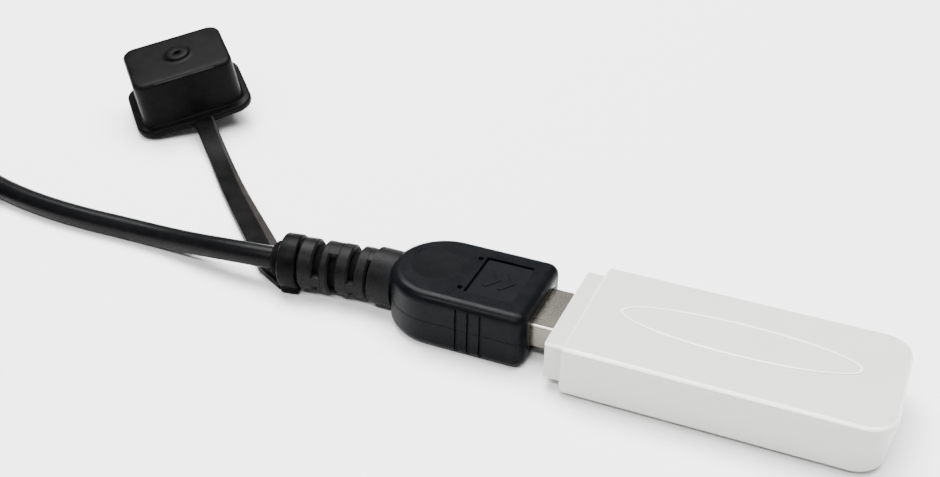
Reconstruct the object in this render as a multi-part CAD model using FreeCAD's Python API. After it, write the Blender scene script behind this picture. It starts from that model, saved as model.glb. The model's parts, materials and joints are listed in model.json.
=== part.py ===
"""USB microcontroller programmer: a closed white stick plugged into the socket end of a USB extension cable.

The socket end has a slotted strain relief and a rubber dust cap on a tether. Millimetres, +Z up. The origin is the
middle of the socket housing's underside, +X runs along the stick to its closed end, and the whole thing lies on z = 0.
"""
import FreeCAD, Part
import math
import os

V = FreeCAD.Vector
os.makedirs("parts", exist_ok=True)

# ---- driving dimensions ----
AXIS_Z = 5.3            # height of the plug and cable axis
# socket housing
HOUSE_FRONT = 14.5
HOUSE_HALF_W = 9.7
HOUSE_H = 10.6
ROUND_X = -3.5          # centre of the round rear end
HOUSE_EDGE_R = 1.8
MOUTH_CORNER_R = 2.2    # upright corners at the mouth
BADGE = (2.55, 10.9, 5.5)   # badge panel: its two ends and its half width
BADGE_GROOVE = 0.5      # width of the groove along the panel's rear and left edges
# USB-A plug and receptacle (standard section)
SHELL_W = 12.0
SHELL_H = 4.5
SHEET = 0.3
PLUG_REACH = 12.0       # plug shell in front of its housing
TONGUE_GAP = 0.055      # running clearance round the receptacle's tongue
CONTACT_Y = (-3.5, -1.0, 1.0, 3.5)
CONTACT_W = 1.0
# stick
COLLAR_X = 18.74
SLEEVE_X = 22.0
SLEEVE_L = 52.6
SLEEVE_HALF_W = 13.05
SLEEVE_H = 9.0
SLEEVE_CORNER_R = 5.0
SLEEVE_RAKE = 1.0       # the closed end leans out towards the top
COLLAR_HALF_W = 11.42
COLLAR_H = 7.1
WALL = 0.8
BOARD_X = (25.7, 70.0)
BOARD_HALF_W = 10.2
BOARD_TOP = 4.6
BOARD_T = 1.0
# cable
CABLE_D = 4.2
CABLE_R = CABLE_D / 2
COIL_PITCH = CABLE_D
COIL_FOOT = 0.6         # the coil lies on the loop of its tie
COIL_C = (-127.0, -21.9)
COIL_R_IN = 21.0
COIL_R_OUT = 31.5
TAIL_Z = 4.0            # axis height of the host plug
TAIL_L = 20.0           # straight stretch from the coil to the host plug
# strain relief: slots across its ribs and the groove for the tether ring
SLOTS = (-16.9, -20.4, -24.2, -27.1)
SLOT_W = 1.3
RIB_R = 4.7
CORE_R = 3.5
BOOT_ROOT = (-12.2, 5.16)
GROOVE = (-30.7, -34.5)
RING_X = sum(GROOVE) / 2
RING_HALF = 1.7
RING_R = 5.0
GROOVE_R = 2.9
BOOT_END = -36.1
# dust cap and its tether
CAP_AT = V(-86.81, 47.66, 3.75)     # middle of the mouth
CAP_TURN = (43.79, 7.10, -10.72)    # turn in plan, then the two tilts, degrees
CAP_HALF = (11.1, 8.4)
CAP_H = 12.2
CAP_HOLLOW = (9.75, 5.45, 10.3)
FLANGE_T = 1.6
FLANGE_OUT = 1.8
FLANGE_BACK = 1.0
FLANGE_FRONT = 1.9
STRAP_T = 1.5
STRAP_W = 4.3           # width at the cap
STRAP_ROOT_W = 5.4      # width at the ring
STRAP_Z = 0.85
KNUCKLE = 1.1           # gap from a flex line to the edge it bends at
CAP_LUG = 0.7           # the flange bows out where the strap joins it
STRAP_U = 1.2           # the strap joins the flange a little off centre

EX, EY, EZ = V(1, 0, 0), V(0, 1, 0), V(0, 0, 1)


# ---- helpers ----
def save(node, shape):
    """Write one sub-part, as a single clean solid where it is one."""
    shape = shape.removeSplitter()
    shape.exportStep("parts/" + node + ".step")
    return shape


def box(x0, x1, y0, y1, z0, z1):
    return Part.makeBox(x1 - x0, y1 - y0, z1 - z0, V(x0, y0, z0))


def slab(x0, x1, half_w, z0, z1):
    """A box that is centred across the part."""
    return box(x0, x1, -half_w, half_w, z0, z1)


def rod(a, b, r):
    return Part.makeCylinder(r, (b - a).Length, a, b - a)


def fillet(shape, r, pick):
    edges = [e for e in shape.Edges if pick(e.BoundBox)]
    return shape.makeFillet(r, edges) if edges else shape


def chamfer(shape, c, pick):
    edges = [e for e in shape.Edges if pick(e.BoundBox)]
    return shape.makeChamfer(c, edges) if edges else shape


def upright(b):
    return b.ZLength > 0.5 and b.XLength < 0.01 and b.YLength < 0.01


def at_height(z):
    return lambda b: abs(b.ZMin - z) < 0.01 and abs(b.ZMax - z) < 0.01


def turned(profile, origin, axis):
    """A solid of revolution; the profile lists (distance along the axis, radius)."""
    side = axis.cross(EZ).normalize()
    pts = [origin + axis * s + side * r for s, r in profile]
    face = Part.Face(Part.makePolygon(pts + [pts[0]]))
    return face.revolve(origin, axis, 360)


def route_wire(points):
    """Straight runs joined by tangent arcs, each as large as its two runs allow; returns the wire and its radii."""
    pts = [V(*p) for p in points]
    edges, radii, start = [], [], pts[0]
    for a, p, b in zip(pts, pts[1:], pts[2:]):
        into, out = (p - a).normalize(), (b - p).normalize()
        turn = into.getAngle(out)
        back = 0.45 * min((p - a).Length, (b - p).Length)
        radii.append(back / math.tan(turn / 2))
        first, last = p - into * back, p + out * back
        bulge = (out - into).normalize()
        centre = first + (bulge - into * bulge.dot(into)).normalize() * radii[-1]
        middle = centre + (p - centre).normalize() * radii[-1]
        edges.append(Part.LineSegment(start, first).toShape())
        edges.append(Part.Arc(first, middle, last).toShape())
        start = last
    edges.append(Part.LineSegment(start, pts[-1]).toShape())
    return Part.Wire(edges), radii


def tube(wire, r):
    start = wire.Edges[0].valueAt(wire.Edges[0].FirstParameter)
    along = wire.Edges[0].tangentAt(wire.Edges[0].FirstParameter)
    ring = Part.Wire(Part.Circle(start, along, r).toShape())
    return wire.makePipeShell([ring], True, False)


def checked_tube(name, points):
    """The cable's tube along a route, with its radii and its volume against section times length."""
    wire, radii = route_wire(points)
    body = tube(wire, CABLE_R)
    ratio = body.Volume / (math.pi * CABLE_R ** 2 * wire.Length)
    print(name, "length %.1f" % wire.Length, "volume ratio %.4f" % ratio, "valid", body.isValid())
    print("  radii", [round(r, 1) for r in radii])
    return body, wire


# ---- cable route: from the ferrule through the strain relief to the coil ----
ROUTE = [
    (-9.5, 0.0, AXIS_Z), (-17.0, 0.0, AXIS_Z), (-27.0, -1.3, AXIS_Z), (-37.5, -3.0, 5.25),
    (-45.5, -3.1, 4.7), (-53.5, -2.3, 3.4), (-61.5, -1.3, 2.3), (-70.5, -1.2, 2.1), (-80.5, -1.5, 2.1),
    (-90.5, -0.9, 2.1), (-100.5, 0.8, 2.15), (-110.0, 3.8, 2.3), (-119.0, 6.3, 2.5), (-127.0, 7.5, 2.7),
]
TAIL = [(COIL_C[0], COIL_C[1] - COIL_R_OUT, TAIL_Z), (COIL_C[0] + TAIL_L, COIL_C[1] - COIL_R_OUT, TAIL_Z)]

cable, cable_wire = checked_tube("cable_jacket", ROUTE)
tail, tail_wire = checked_tube("cable_tail", TAIL)
TRACK = cable_wire.discretize(Distance=0.1)


def spot(x):
    """Where the cable's axis passes x, and its direction there."""
    k = min(range(1, len(TRACK) - 1), key=lambda i: abs(TRACK[i].x - x))
    return TRACK[k], (TRACK[k + 1] - TRACK[k - 1]).normalize()


# ---- socket end ----
def d_plate(inset, z0, z1):
    """The housing's plan, round at the rear, with rounded corners at the mouth, drawn in by inset at the sides."""
    r = HOUSE_HALF_W - inset
    front = slab(ROUND_X, HOUSE_FRONT, r, z0, z1)
    front = fillet(front, MOUTH_CORNER_R, lambda b: b.XMin > HOUSE_FRONT - 0.01 and b.YLength < 0.01)
    return front.fuse(Part.makeCylinder(r, z1 - z0, V(ROUND_X, 0, z0))).removeSplitter()


def dished(x, z, up):
    """A shallow round finger dish of 4.4 radius."""
    r, deep = 4.4, 0.3
    ball = (r * r + deep * deep) / (2 * deep)
    return Part.makeSphere(ball, V(x, 0, z + up * (ball - deep)))


def chevron(x, z0, z1):
    """A plain arrow mark that points to the mouth."""
    pts = [(0, -2.6), (0.75, -2.6), (2.6, 0), (0.75, 2.6), (0, 2.6), (1.85, 0)]
    wire = Part.makePolygon([V(x + a, b, z0) for a, b in pts + pts[:1]])
    return Part.Face(wire).extrude(V(0, 0, z1 - z0))


RECEPT = (0.0, HOUSE_FRONT - 0.05)
RECEPT_HALF_W = 6.25 + SHEET
RECEPT_Z = (AXIS_Z - 2.55 - SHEET, AXIS_Z + 2.55 + SHEET)
INNER = (-9.5, RECEPT[0])
FERRULE = (-12.2, -9.5)


def inner_block():
    block = slab(INNER[0], INNER[1], 5.6, 2.2, 8.4)
    return fillet(block, 1.2, upright)


def receptacle():
    """Folded metal shell with spring fingers on all four walls."""
    outer = slab(RECEPT[0], RECEPT[1], RECEPT_HALF_W, *RECEPT_Z)
    outer = fillet(outer, 0.7, lambda b: b.XLength > 10)
    bore = slab(-1, 20, RECEPT_HALF_W - SHEET, RECEPT_Z[0] + SHEET, RECEPT_Z[1] - SHEET)
    bore = fillet(bore, 0.4, lambda b: b.XLength > 10)
    shell = outer.cut(bore)
    for y in (-3.3, 3.3):
        frame = box(5.2, 11.6, y - 1.35, y + 1.35, -1, 12).cut(box(5.6, 13, y - 1.0, y + 1.0, -2, 13))
        shell = shell.cut(frame)
    frame = box(5.2, 10.8, -12, 12, AXIS_Z - 1.15, AXIS_Z + 1.15)
    return shell.cut(frame.cut(box(5.6, 12, -13, 13, AXIS_Z - 0.85, AXIS_Z + 0.85)))


TONGUE_Z = (AXIS_Z + TONGUE_GAP, AXIS_Z + SHELL_H / 2 - SHEET - TONGUE_GAP)


def receptacle_core():
    base = slab(0.3, 2.2, RECEPT_HALF_W - SHEET, RECEPT_Z[0] + SHEET, RECEPT_Z[1] - SHEET)
    base = fillet(base, 0.4, lambda b: b.XLength > 1)
    return base.fuse(slab(2.2, 12.8, 5.55, *TONGUE_Z))


def contact_set():
    """Four strips under the tongue with solder tails behind it."""
    strips = [box(-2.0, 12.3, y - CONTACT_W / 2, y + CONTACT_W / 2, TONGUE_Z[0], TONGUE_Z[0] + 0.25)
              for y in CONTACT_Y]
    return Part.makeCompound(strips)


def conductors():
    """Four insulated wires from the contact tails to the cut end of the jacket."""
    ends = [(-0.6, 0.6), (-0.6, -0.6), (0.6, -0.6), (0.6, 0.6)]
    start_z = TONGUE_Z[0] + 0.12
    room = slab(INNER[0], -2.0, 6, 0, 10)
    wires = [rod(V(-1.5, y * 1.04, start_z), V(INNER[0] - 0.5, a, AXIS_Z + b), 0.5)
             for y, (a, b) in zip(CONTACT_Y, ends)]
    return [wire.common(room) for wire in wires]


def bridge(x, across):
    """Two webs over one slot: narrow ones low on the sides, or wide ones above and below."""
    at, way = spot(x)
    width, half = (2.2 if across else 4.0), SLOT_W / 2 + 0.3
    disc = rod(at - way * half, at + way * half, RIB_R - 0.03)
    webs = []
    for sign in (-1, 1):
        out = (way.cross(EZ) * sign - EZ * 0.22).normalize() if across else EZ * sign
        side = out.cross(way)
        web = Part.makeBox(2 * half, width, 3.4, V(-half, -width / 2, 2.6))
        place = FreeCAD.Matrix(way.x, side.x, out.x, at.x, way.y, side.y, out.y, at.y, way.z, side.z, out.z, at.z)
        webs.append(web.transformGeometry(place).common(disc))
    return webs


def rib(x0, x1, r):
    """One bevelled rib, square to the bent axis."""
    at, way = spot((x0 + x1) / 2)
    half, bevel = abs(x1 - x0) / 2, 0.35
    profile = [(-half, 0), (-half, r - bevel), (bevel - half, r), (half - bevel, r), (half, r - bevel), (half, 0)]
    return turned(profile, at, way)


def strain_relief():
    """Slotted boot, moulded bent: core, ribs, webs across the slots, groove and end collar."""
    core = tube(cable_wire, CORE_R).common(box(GROOVE[0] + 1.0, -14, -12, 12, -5, 15))
    at, way = spot(RING_X)
    half = abs(GROOVE[1] - GROOVE[0]) / 2
    neck = rod(at - way * (half + 0.6), at + way * (half + 0.4), GROOVE_R)
    end = abs(BOOT_END - GROOVE[1])
    collar = [(half, 0), (half, 3.3), (half + end - 0.5, 3.3), (half + end, 2.9), (half + end, 0)]
    pieces = [neck, turned(collar, at, way), rod(V(BOOT_ROOT[0], 0, AXIS_Z), V(-16.65, 0, AXIS_Z), BOOT_ROOT[1])]
    edges = [s + k * SLOT_W / 2 for s in SLOTS for k in (1, -1)][1:] + [GROOVE[0]]
    for x0, x1 in zip(edges[::2], edges[1::2]):
        pieces.append(rib(x0, x1, RIB_R))
    for k, x in enumerate(SLOTS):
        pieces += bridge(x, across=bool(k % 2))
    return core.multiFuse(pieces).cut(cable)


def housing(boot_hole):
    """Overmoulded housing with dish, badge panel, grip grooves and parting line."""
    body = fillet(d_plate(0, 0, HOUSE_H), HOUSE_EDGE_R, lambda b: b.ZLength < 0.01)
    body = body.fuse(d_plate(-0.05, AXIS_Z - 0.07, AXIS_Z + 0.07))
    for z, up in ((HOUSE_H, 1), (0, -1)):
        body = body.cut(dished(-5.4, z, up))
    rear, end, half = BADGE
    body = body.cut(box(rear, end, -half, half, HOUSE_H - 0.15, 20))
    body = body.cut(box(rear - BADGE_GROOVE, rear, -half, half + 0.3, HOUSE_H - 0.6, 20))
    body = body.cut(box(rear, end - 0.2, half - 0.2, half + 0.3, HOUSE_H - 0.6, 20))
    for x in (4.2, 6.9):
        body = body.fuse(chevron(x, HOUSE_H - 0.16, HOUSE_H - 0.03))
    for y in (-4.7, 4.9):
        body = body.cut(Part.makeCylinder(0.5, 1.0, V(1.05, y, HOUSE_H - 0.6)))
    for x in (2.55, 4.75, 6.97):
        for side in (-1, 1):
            body = body.cut(box(x - 0.35, x + 0.35, side * 9.7 - 0.4, side * 9.7 + 0.4, 0.3, 9.4))
    hollow = fillet(slab(RECEPT[0], 15, RECEPT_HALF_W, *RECEPT_Z), 0.7, lambda b: b.XLength > 10)
    ferrule_hole = rod(V(FERRULE[0], 0, AXIS_Z), V(FERRULE[1], 0, AXIS_Z), 2.7)
    return body.cut(hollow).cut(inner_block()).cut(ferrule_hole).cut(boot_hole)


def make_socket_end():
    boot = strain_relief()
    boot_hole = rod(V(BOOT_ROOT[0], 0, AXIS_Z), V(-16.0, 0, AXIS_Z), BOOT_ROOT[1])
    wires, contacts = conductors(), contact_set()
    block = inner_block().cut(contacts)
    for wire in wires:
        block = block.cut(wire)
    ferrule = rod(V(FERRULE[0], 0, AXIS_Z), V(FERRULE[1], 0, AXIS_Z), 2.7)
    save("socket_overmold", housing(boot_hole))
    save("strain_relief", boot)
    save("receptacle_shell", receptacle())
    save("receptacle_insulator", receptacle_core().cut(contacts))
    save("receptacle_contacts", contacts)
    save("inner_mold", block)
    for name, wire in zip(("power", "data_minus", "data_plus", "ground"), wires):
        save("conductor_" + name, wire)
    save("crimp_ferrule", ferrule.cut(cable))


# ---- coil, tie and host plug ----
def coil_section(grow):
    """The coil's outline in a radial plane, for the wound turns and for the tie round them."""
    r0, r1 = COIL_R_IN - CABLE_R - 1.7 - grow, COIL_R_OUT + CABLE_R + grow
    z0, z1 = COIL_FOOT - grow, COIL_FOOT + 2 * CABLE_D + grow
    c = 1.4
    pts = [(r0 + c, z0), (r1 - c, z0), (r1, z0 + c), (r1, z1 - c), (r1 - c, z1), (r0 + c, z1), (r0, z1 - c), (r0, z0 + c)]
    return Part.Face(Part.makePolygon([V(COIL_C[0] + r, COIL_C[1], z) for r, z in pts + pts[:1]]))


def make_coil():
    centre = V(COIL_C[0], COIL_C[1], 0)
    ring = coil_section(0).revolve(centre, EZ, 360)
    save("cable_coil", ring.cut(cable).cut(tail))
    band = coil_section(0.55).cut(coil_section(0))
    band.rotate(centre, EZ, 172)
    save("coil_tie", band.revolve(centre, EZ, 16))


def make_host_plug():
    """The plug at the computer's end, lying flat beside the coil."""
    x0, y = COIL_C[0] + TAIL_L, COIL_C[1] - COIL_R_OUT
    boot_l, grip_l = 9.0, 20.0
    boot = turned([(0, 0), (0, 2.7), (boot_l, 3.6), (boot_l, 0)], V(x0, y, TAIL_Z), EX)
    for k in range(3):
        x = x0 + 1.6 + 2.4 * k
        boot = boot.cut(box(x, x + 1.1, y - 5, y + 5, TAIL_Z + 1.9, 20))
        boot = boot.cut(box(x, x + 1.1, y - 5, y + 5, -20, TAIL_Z - 1.9))
    save("host_plug_strain_relief", boot)
    gx = x0 + boot_l
    grip = box(gx, gx + grip_l, y - 7.8, y + 7.8, 0.1, 2 * TAIL_Z - 0.1)
    grip = fillet(grip, 3.0, upright)
    grip = fillet(grip, 1.0, lambda b: b.ZLength < 0.01)
    for z in (0.1, 2 * TAIL_Z - 0.1):
        for k in range(4):
            grip = grip.cut(box(gx + 5 + 2.2 * k, gx + 5.8 + 2.2 * k, y - 4.5, y + 4.5, z - 0.3, z + 0.3))
    shell_x = (gx + grip_l - 4.0, gx + grip_l + PLUG_REACH)
    place = V(shell_x[0], y, TAIL_Z)
    pocket = box(shell_x[0], shell_x[1], y - SHELL_W / 2, y + SHELL_W / 2, TAIL_Z - SHELL_H / 2, TAIL_Z + SHELL_H / 2)
    save("host_plug_overmold", grip.cut(fillet(pocket, 0.5, lambda b: b.XLength > 10)))
    shell, core, contacts = plug_parts(shell_x[1] - shell_x[0], 4.0)
    for name, piece in (("shell", shell), ("insulator", core), ("contacts", contacts)):
        piece.translate(place)
        save("host_plug_" + name, piece)


# ---- USB-A plug, shared by the stick and the host end; x = 0 at its rear, axis at y = z = 0 ----
def bore_shape(length, half_w, half_h):
    """The plug shell's inside, with its rounded corners."""
    bore = slab(-1, length + 1, half_w - SHEET, SHEET - half_h, half_h - SHEET)
    return fillet(bore, 0.25, lambda b: b.XLength > 10)


def plug_parts(length, rear):
    half_w, half_h = SHELL_W / 2, SHELL_H / 2
    shell = fillet(slab(0, length, half_w, -half_h, half_h), 0.5, lambda b: b.XLength > 10)
    shell = shell.cut(bore_shape(length, half_w, half_h))
    for y in (-2.9, 2.9):
        shell = shell.cut(box(length - 6.4, length - 3.9, y - 1.0, y + 1.0, -10, 10))
    seam = box(-1, length + 1, -half_w - 1, 0.1 - half_w, 1.15, 1.25)
    key = box(length - 9.3, length - 8.3, -half_w - 1, 0.1 - half_w, 0.35, 1.25)
    shell = shell.cut(seam).cut(key)
    core = slab(0, length - 0.3, half_w - SHEET - 0.02, SHEET + 0.02 - half_h, -0.02)
    core = core.fuse(slab(0, rear, half_w - SHEET - 0.02, SHEET + 0.02 - half_h, half_h - SHEET - 0.02))
    core = core.common(bore_shape(length, half_w - 0.02, half_h - 0.02))
    strips = Part.makeCompound(
        [box(0, length - 1.0, y - CONTACT_W / 2, y + CONTACT_W / 2, -0.27, -0.02) for y in CONTACT_Y])
    return shell, core.cut(strips), strips


# ---- stick ----
def sleeve_plan(x_end, half_w, corner, x0, z):
    """The sleeve's outline: square at the open end, rounded at the closed end."""
    k = corner * math.sqrt(0.5)
    cx, cy = x_end - corner, half_w - corner
    a, b, c = V(x0, -half_w, z), V(cx, -half_w, z), V(x_end, -cy, z)
    d, e, f = V(x_end, cy, z), V(cx, half_w, z), V(x0, half_w, z)
    arcs = [Part.Arc(b, V(cx + k, -cy - k, z), c), Part.Arc(d, V(cx + k, cy + k, z), e)]
    lines = [Part.LineSegment(a, b), Part.LineSegment(c, d), Part.LineSegment(e, f), Part.LineSegment(f, a)]
    order = [lines[0], arcs[0], lines[1], arcs[1], lines[2], lines[3]]
    return Part.Wire([g.toShape() for g in order])


def oval(rx, ry, z0, z1):
    face = Part.Face(Part.Wire(Part.Ellipse(V(47.7, 1.0, z0), rx, ry).toShape()))
    return face.extrude(V(0, 0, z1 - z0))


def sleeve():
    z0, z1 = AXIS_Z - SLEEVE_H / 2, AXIS_Z + SLEEVE_H / 2
    x_end = SLEEVE_X + SLEEVE_L
    low = sleeve_plan(x_end - SLEEVE_RAKE, SLEEVE_HALF_W, SLEEVE_CORNER_R, SLEEVE_X, z0)
    high = sleeve_plan(x_end, SLEEVE_HALF_W, SLEEVE_CORNER_R, SLEEVE_X, z1)
    body = Part.makeLoft([low, high], True, True)
    body = fillet(body, 0.7, lambda b: upright(b) and b.XMax < SLEEVE_X + 0.01)
    for z in (z1, z0):
        body = fillet(body, 0.7, lambda b: at_height(z)(b) and b.XMax > SLEEVE_X + 1)
    ridge = oval(19.95, 4.6, z1 - 0.2, z1 + 0.18).cut(oval(19.4, 4.1, z1, z1 + 1))
    body = body.fuse(chamfer(ridge, 0.1, at_height(z1 + 0.18)))
    inner = sleeve_plan(x_end - 2.4, COLLAR_HALF_W + 0.05, 3.4, SLEEVE_X - 1, AXIS_Z - COLLAR_H / 2 - 0.05)
    return body.cut(Part.Face(inner).extrude(V(0, 0, COLLAR_H + 0.1)))


def carrier(top):
    """One half of the inner carrier: nose collar in front, walls round the board behind."""
    sign = 1 if top else -1
    far, near = AXIS_Z + sign * COLLAR_H / 2, AXIS_Z
    z0, z1 = min(far, near), max(far, near)
    body = slab(COLLAR_X, 71.0, COLLAR_HALF_W, z0, z1)
    body = fillet(body, 0.5, lambda b: upright(b) and b.XMin < 20)
    body = fillet(body, 3.0, lambda b: upright(b) and b.XMin > 70)
    body = fillet(body, 0.3, lambda b: at_height(far)(b) and b.XLength > 10)
    roof = far - sign * WALL
    body = body.cut(slab(COLLAR_X + 1.4, 80, COLLAR_HALF_W - 0.95, min(roof, near - sign), max(roof, near - sign)))
    body = body.cut(slab(COLLAR_X - 1, 25, SHELL_W / 2 + 0.03, AXIS_Z - SHELL_H / 2 - 0.03, AXIS_Z + SHELL_H / 2 + 0.03))
    inner_w = COLLAR_HALF_W - 0.95
    for x in (27.0, 47.0, 66.0):
        for side in (-1, 1):
            y0, y1 = sorted((side * (inner_w - 1.0), side * inner_w))
            reach = BOARD_TOP if top else BOARD_TOP - BOARD_T
            body = body.fuse(box(x, x + 2.4, y0, y1, min(roof, reach), max(roof, reach)))
    return body


def board():
    body = box(BOARD_X[0], BOARD_X[1], -BOARD_HALF_W, BOARD_HALF_W, BOARD_TOP - BOARD_T, BOARD_TOP)
    body = fillet(body, 0.8, upright)
    for y in (-1, 1):
        body = body.cut(box(26.4, 27.8, y * 5.85 - 0.25, y * 5.85 + 0.25, 0, 10))
    for x, y in ((60.0, -7.0), (60.0, 7.0), (68.0, -8.0)):
        body = body.cut(Part.makeCylinder(0.5, 3, V(x, y, 3)))
    return body


def chip(x, y, size_x, size_y, height, lift=0.1):
    return Part.makeBox(size_x, size_y, height, V(x - size_x / 2, y - size_y / 2, BOARD_TOP + lift))


def gull_leads(x, y, body_half, count, pitch, side_x, side_y):
    """A row of leads along one side of a chip, each a shoulder, a drop and a foot."""
    leads = []
    for k in range(count):
        off = (k - (count - 1) / 2) * pitch
        for reach0, reach1, z0, z1 in ((0.0, 0.45, 0.5, 0.65), (0.3, 0.45, 0.0, 0.65), (0.3, 0.95, 0.0, 0.15)):
            a, b = body_half + reach0, body_half + reach1
            if side_x:
                x0, x1 = sorted((x + side_x * a, x + side_x * b))
                leads.append(box(x0, x1, y + off - 0.15, y + off + 0.15, BOARD_TOP + z0, BOARD_TOP + z1))
            else:
                y0, y1 = sorted((y + side_y * a, y + side_y * b))
                leads.append(box(x + off - 0.15, x + off + 0.15, y0, y1, BOARD_TOP + z0, BOARD_TOP + z1))
    fused = []
    for k in range(0, len(leads), 3):
        fused.append(leads[k].multiFuse(leads[k + 1:k + 3]))
    return fused


def end_capped(x, y, length, width, height):
    """A chip resistor or capacitor, long way across the board."""
    return box(x - width / 2, x + width / 2, y - length / 2, y + length / 2, BOARD_TOP, BOARD_TOP + height)


def make_stick():
    save("stick_sleeve", sleeve())
    save("carrier_top", carrier(True))
    save("carrier_bottom", carrier(False))
    save("main_board", board())
    tip = COLLAR_X - PLUG_REACH
    rear = 25.4
    shell, core, contacts = plug_parts(rear - tip, 5.0)
    half = FreeCAD.Placement(V(rear, 0, AXIS_Z), FreeCAD.Rotation(EZ, 180))
    shell.Placement = half
    core.Placement = half
    contacts.Placement = half
    for side in (-1, 1):
        y0, y1 = sorted((side * 5.72, side * 5.98))
        leg = box(rear, 28.0, y0, y1, BOARD_TOP, 6.4).fuse(box(26.5, 27.7, y0, y1, 3.2, BOARD_TOP + 0.2))
        shell = shell.fuse(leg)
    feet = []
    for y in CONTACT_Y:
        y0, y1 = y - CONTACT_W / 2, y + CONTACT_W / 2
        drop = box(rear, 25.95, y0, y1, AXIS_Z - 0.27, AXIS_Z - 0.02).fuse(
            box(25.75, 25.95, y0, y1, BOARD_TOP, AXIS_Z - 0.02))
        feet.append(drop.fuse(box(25.75, 27.2, y0, y1, BOARD_TOP, BOARD_TOP + 0.2)))
    strips = [s.fuse(f).removeSplitter() for s, f in zip(sorted(contacts.Solids, key=lambda s: s.BoundBox.YMin), feet)]
    save("plug_shell", shell)
    save("plug_insulator", core)
    Part.makeCompound(strips).exportStep("parts/plug_contacts.step")


def make_board_parts():
    save("microcontroller", chamfer(chip(41.0, 0.0, 7.0, 7.0, 1.0), 0.15, at_height(BOARD_TOP + 1.1)))
    leads = []
    for sx, sy in ((1, 0), (-1, 0), (0, 1), (0, -1)):
        leads += gull_leads(41.0, 0.0, 3.5, 8, 0.8, sx, sy)
    save("microcontroller_leads", Part.makeCompound(leads))
    save("memory_chip", chip(55.5, -4.8, 4.9, 3.9, 1.3))
    leads = gull_leads(55.5, -4.8, 1.95, 4, 1.27, 0, 1) + gull_leads(55.5, -4.8, 1.95, 4, 1.27, 0, -1)
    save("memory_chip_leads", Part.makeCompound(leads))
    save("voltage_regulator", chip(32.0, -6.2, 2.9, 1.6, 1.1))
    leads = gull_leads(32.0, -6.2, 0.8, 3, 0.95, 0, 1) + gull_leads(32.0, -6.2, 0.8, 2, 1.9, 0, -1)
    save("voltage_regulator_leads", Part.makeCompound(leads))
    can = fillet(chip(52.5, 5.0, 11.0, 4.4, 2.9, 0.0), 2.1, upright)
    save("crystal", fillet(can, 0.4, at_height(BOARD_TOP + 2.9)))
    save("status_led", fillet(chip(65.0, 0.0, 2.0, 1.3, 0.9, 0.0), 0.25, upright))
    caps = [end_capped(x, y, 1.6, 0.8, 0.8) for x, y in
            ((36.0, 6.0), (46.5, -6.5), (36.0, -6.4), (60.5, 2.6), (44.8, 5.4), (28.9, -8.6))]
    save("capacitors", Part.makeCompound(caps))
    res = [end_capped(x, y, 1.6, 0.8, 0.45) for x, y in
           ((30.2, 3.6), (31.8, 3.6), (33.6, 0.9), (61.8, -1.8), (63.2, 5.0), (49.0, -2.8))]
    save("resistors", Part.makeCompound(res))


# ---- tether ring, strap and dust cap ----
def cap_axes():
    """The cap's long, short and upward directions."""
    turn, roll, pitch = (math.radians(a) for a in CAP_TURN)
    rot = FreeCAD.Rotation(EZ, math.degrees(turn)) * FreeCAD.Rotation(EX, math.degrees(roll))
    rot = rot * FreeCAD.Rotation(EY, math.degrees(pitch))
    return rot, rot.multVec(EX), rot.multVec(EY), rot.multVec(EZ)


CAP_ROT, CAP_U, CAP_V, CAP_W = cap_axes()
FLEX_OUT = CAP_HALF[1] + FLANGE_FRONT + CAP_LUG + KNUCKLE
FLEX_CAP = CAP_AT + CAP_U * STRAP_U - CAP_V * FLEX_OUT + CAP_W * (FLANGE_T / 2)
FLEX_RING = V(-41.5, 3.4, STRAP_Z)
STRAP_WAY = V(FLEX_CAP.x - FLEX_RING.x, FLEX_CAP.y - FLEX_RING.y, 0).normalize()
STRAP_SIDE = EZ.cross(STRAP_WAY)


def station(at, side, up, width):
    """One cross-section of the strap."""
    a, b = side * (width / 2), up * (STRAP_T / 2)
    pts = [at - a - b, at + a - b, at + a + b, at - a + b]
    return Part.makePolygon(pts + pts[:1])


def make_ring():
    """Ring in the boot's groove with the lug and the strap's root, which passes under the cable."""
    at, way = spot(RING_X)
    half = RING_HALF
    ring = rod(at - way * half, at + way * half, RING_R)
    ring = chamfer(ring, 0.3, lambda b: b.YLength > 8)
    lug = Part.makeBox(2 * half, 5.2, 2.6, V(-half, -3.3, 0.15))
    lug = fillet(lug, 0.5, lambda b: b.XLength > 2)
    yaw = math.degrees(math.atan2(-way.y, -way.x))
    lug.rotate(V(0, 0, 0), EZ, yaw)
    lug.translate(V(at.x, at.y, 0))
    start = V(at.x - 1.0, -3.6, STRAP_Z)
    stop = FLEX_RING - STRAP_WAY * KNUCKLE
    root = Part.makeLoft(
        [station(start, STRAP_SIDE, EZ, 3.4), station(stop, STRAP_SIDE, EZ, STRAP_ROOT_W)], True, True)
    bore = rod(at - way * 9, at + way * 9, GROOVE_R + 0.06)
    save("tether_ring", ring.fuse(lug).cut(bore).fuse(root))
    print("ring axis at", [round(c, 3) for c in at], "way", [round(c, 4) for c in way])


def make_strap():
    """Flat tether from the flex line beyond the cable to the one at the cap."""
    run = (FLEX_CAP - FLEX_RING)
    flat = V(run.x, run.y, 0)
    middle = FLEX_RING + flat * 0.5 + STRAP_SIDE * 0.3
    ramp = FLEX_RING + flat * 0.74
    wires = [station(FLEX_RING, STRAP_SIDE, EZ, STRAP_ROOT_W), station(middle, STRAP_SIDE, EZ, 4.5),
             station(ramp, STRAP_SIDE, EZ, 4.2), station(FLEX_CAP, CAP_U * -1, CAP_W, STRAP_W)]
    body = Part.makeLoft(wires, True, True)
    for at, side in ((FLEX_RING, STRAP_SIDE * STRAP_ROOT_W), (FLEX_CAP, CAP_U * STRAP_W)):
        body = body.fuse(rod(at - side * 0.5, at + side * 0.5, STRAP_T / 2))
    save("tether_strap", body)


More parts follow.
